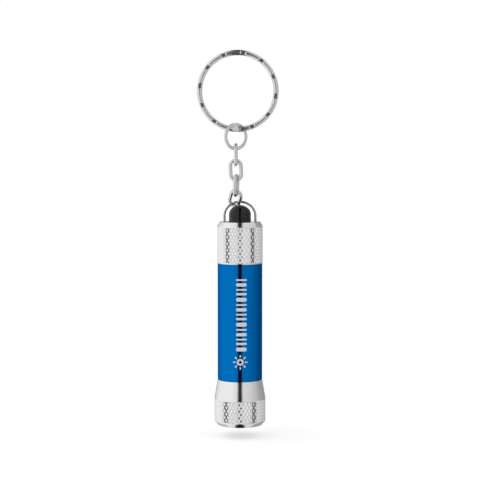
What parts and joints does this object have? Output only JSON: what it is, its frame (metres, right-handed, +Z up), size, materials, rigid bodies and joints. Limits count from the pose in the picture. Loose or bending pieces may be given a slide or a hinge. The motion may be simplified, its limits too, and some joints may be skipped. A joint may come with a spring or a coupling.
{
  "type": "keychain flashlight",
  "caption": "Pocket torch with a domed tail button, blue barrel and knurled ends, hung by a bail and a short chain from a split key ring.",
  "frame": {"origin": "centre of the split key ring", "axes": "+Z up, along the torch from lamp to tail; +Y through the key ring, away from the front"},
  "size_m": [0.025, 0.0158, 0.1153],
  "materials": {
    "ring_steel": "nickel-plated steel wire, polished",
    "chain_steel": "nickel-plated steel wire, bright",
    "bright_aluminium": "turned and knurled, bright clear finish",
    "blue_anodised": "blue anodised, glossy",
    "button_rubber": "black moulded, smooth satin",
    "switch_plastic": "black moulded",
    "contact_brass": "plated contact",
    "spring_steel": "drawn wire",
    "seal_rubber": "black moulded",
    "sleeve_card": "thin wound sleeve",
    "cell_steel": "nickel-plated can",
    "board_laminate": "green solder mask",
    "led_epoxy": "clear cast resin",
    "reflector_coat": "vacuum-metallised",
    "lens_clear": "clear moulded window"
  },
  "bodies": {
    "key_ring": {"split_ring": "ring_steel"},
    "jump_ring": {"jump_ring": "chain_steel"},
    "link_1": {"link_1": "chain_steel"},
    "link_2": {"link_2": "chain_steel"},
    "link_3": {"link_3": "chain_steel"},
    "link_4": {"link_4": "chain_steel"},
    "bail": {"bail": "chain_steel"},
    "tail_cap": {"tail_cap": "bright_aluminium", "switch_rivet": "contact_brass", "switch_base": "switch_plastic", "retaining_ring": "bright_aluminium", "tail_spring": "spring_steel", "tail_o_ring": "seal_rubber", "button_spring": "spring_steel"},
    "button": {"push_button": "button_rubber", "switch_plunger": "switch_plastic"},
    "cell_pack": {"battery_sleeve": "sleeve_card", "cell_1": "cell_steel", "cell_2": "cell_steel", "cell_3": "cell_steel", "cell_4": "cell_steel"},
    "barrel": {"barrel": "blue_anodised"},
    "lamp_module": {"led_holder": "switch_plastic", "contact_pin": "contact_brass", "contact_spring": "spring_steel", "led_board": "board_laminate", "led": "led_epoxy"},
    "head": {"head": "bright_aluminium", "head_o_ring": "seal_rubber", "reflector": "reflector_coat", "lens_gasket": "seal_rubber", "lens": "lens_clear", "lens_retainer": "bright_aluminium"}
  },
  "joints": [
    {"name": "ring_orbit", "type": "hinge", "parent": "key_ring", "child": "jump_ring", "pos_m": [0, 0, 0], "axis": [0, 1, 0], "continuous": true},
    {"name": "link_1_swing", "type": "hinge", "parent": "jump_ring", "child": "link_1", "pos_m": [-0.00062, 0, -0.01762], "axis": [0.829, 0.5592, 0], "range_deg": [-40, 40]},
    {"name": "link_2_swing", "type": "hinge", "parent": "link_1", "child": "link_2", "pos_m": [-0.00062, 0.00001, -0.02242], "axis": [0, 1, 0.0091], "range_deg": [-40, 40]},
    {"name": "link_3_swing", "type": "hinge", "parent": "link_2", "child": "link_3", "pos_m": [-0.00063, 0.00011, -0.02715], "axis": [0.999, 0.0003, -0.0436], "range_deg": [-40, 40]},
    {"name": "link_4_swing", "type": "hinge", "parent": "link_3", "child": "link_4", "pos_m": [-0.00043, 0.00113, -0.03164], "axis": [-0.2295, -0.8287, -0.5106], "range_deg": [-30, 30]},
    {"name": "bail_swing", "type": "hinge", "parent": "link_4", "child": "bail", "pos_m": [0.00017, 0.00353, -0.03402], "axis": [0.9947, 0.0432, 0.0928], "range_deg": [-30, 10]},
    {"name": "bail_pivot", "type": "hinge", "parent": "bail", "child": "tail_cap", "pos_m": [0.00066, 0, -0.0416], "axis": [1, 0, 0], "range_deg": [-50, 12]},
    {"name": "button_press", "type": "slide", "parent": "tail_cap", "child": "button", "axis": [0, 0, -1], "range_m": [0, 0.001], "stiffness_N_per_m": 1000, "springref_m": -0.001, "deforming": ["button_spring"]},
    {"name": "barrel_advance", "type": "slide", "parent": "tail_cap", "child": "cell_pack", "axis": [0, 0, -1], "range_m": [0, 0.004]},
    {"name": "barrel_turn", "type": "hinge", "parent": "cell_pack", "child": "barrel", "pos_m": [0.00066, 0, -0.0528], "axis": [0, 0, -1], "range_deg": [0, 2880]},
    {"name": "head_advance", "type": "slide", "parent": "barrel", "child": "lamp_module", "axis": [0, 0, -1], "range_m": [0, 0.004]},
    {"name": "head_turn", "type": "hinge", "parent": "lamp_module", "child": "head", "pos_m": [0.00066, 0, -0.0887], "axis": [0, 0, -1], "range_deg": [0, 2880]}
  ],
  "couplings": [
    {"joint": "barrel_advance", "follows": "barrel_turn", "m_per_rad": 0.000079577},
    {"joint": "head_advance", "follows": "head_turn", "m_per_rad": 0.000079577}
  ]
}
